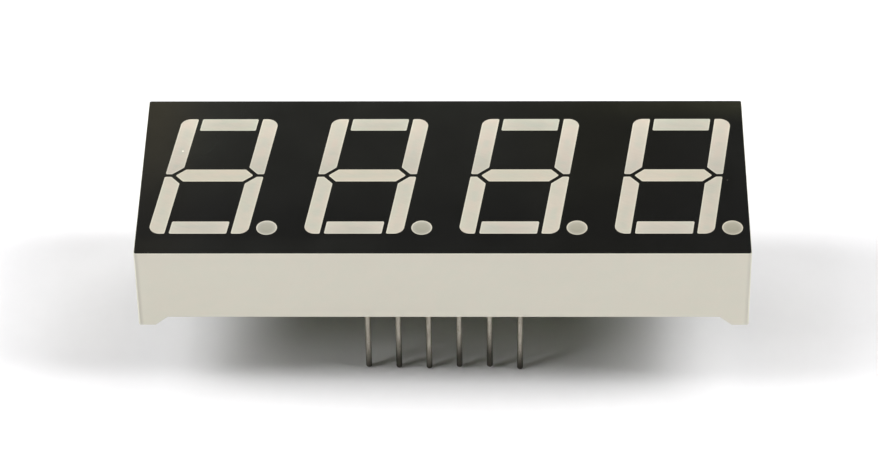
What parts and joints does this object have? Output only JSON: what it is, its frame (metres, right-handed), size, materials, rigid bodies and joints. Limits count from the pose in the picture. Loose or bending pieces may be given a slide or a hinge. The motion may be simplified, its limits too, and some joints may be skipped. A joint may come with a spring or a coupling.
{
  "type": "seven segment display module",
  "caption": "Low rectangular LED display block: a row of slanted segment digits with decimal points in a black face, a pale moulded case, and round solder pins underneath.",
  "frame": {"origin": "centre of the two pin rows, on the plane that the end rails seat on; the pins reach below it", "axes": "+X along the row of digits, left to right; +Y up the digits; +Z out of the black face"},
  "size_m": [0.0504, 0.019, 0.015],
  "materials": {
    "case": "satin moulded polycarbonate, warm pale grey",
    "face_ink": "satin black print",
    "segment_resin": "milky diffusing epoxy, unlit",
    "board": "green fibreglass board",
    "pad_metal": "thin plated pads",
    "track_copper": "tinned copper tracks",
    "led_crystal": "dark red LED crystal",
    "bond_wire": "fine gold coloured wire",
    "pin_metal": "dull tinned wire",
    "solder": "bright solder",
    "potting_resin": "clear amber epoxy"
  },
  "bodies": {
    "root": {"reflector_housing": "case", "black_face": "face_ink", "digit_1_segment_a": "segment_resin", "digit_1_segment_b": "segment_resin", "digit_1_segment_c": "segment_resin", "digit_1_segment_d": "segment_resin", "digit_1_segment_e": "segment_resin", "digit_1_segment_f": "segment_resin", "digit_1_segment_g": "segment_resin", "digit_2_segment_a": "segment_resin", "digit_2_segment_b": "segment_resin", "digit_2_segment_c": "segment_resin", "digit_2_segment_d": "segment_resin", "digit_2_segment_e": "segment_resin", "digit_2_segment_f": "segment_resin", "digit_2_segment_g": "segment_resin", "digit_3_segment_a": "segment_resin", "digit_3_segment_b": "segment_resin", "digit_3_segment_c": "segment_resin", "digit_3_segment_d": "segment_resin", "digit_3_segment_e": "segment_resin", "digit_3_segment_f": "segment_resin", "digit_3_segment_g": "segment_resin", "digit_4_segment_a": "segment_resin", "digit_4_segment_b": "segment_resin", "digit_4_segment_c": "segment_resin", "digit_4_segment_d": "segment_resin", "digit_4_segment_e": "segment_resin", "digit_4_segment_f": "segment_resin", "digit_4_segment_g": "segment_resin", "digit_1_point": "segment_resin", "digit_2_point": "segment_resin", "digit_3_point": "segment_resin", "digit_4_point": "segment_resin", "circuit_board": "board", "front_pads": "pad_metal", "rear_copper": "track_copper", "led_dice_digit_1": "led_crystal", "led_dice_digit_2": "led_crystal", "led_dice_digit_3": "led_crystal", "led_dice_digit_4": "led_crystal", "bond_wires": "bond_wire", "pin_01_seg_e": "pin_metal", "pin_02_seg_d": "pin_metal", "pin_03_seg_dp": "pin_metal", "pin_04_seg_c": "pin_metal", "pin_05_seg_g": "pin_metal", "pin_06_digit_4": "pin_metal", "pin_07_seg_b": "pin_metal", "pin_08_digit_3": "pin_metal", "pin_09_digit_2": "pin_metal", "pin_10_seg_f": "pin_metal", "pin_11_seg_a": "pin_metal", "pin_12_digit_1": "pin_metal", "solder_joints": "solder", "rear_potting": "potting_resin"}
  },
  "joints": []
}
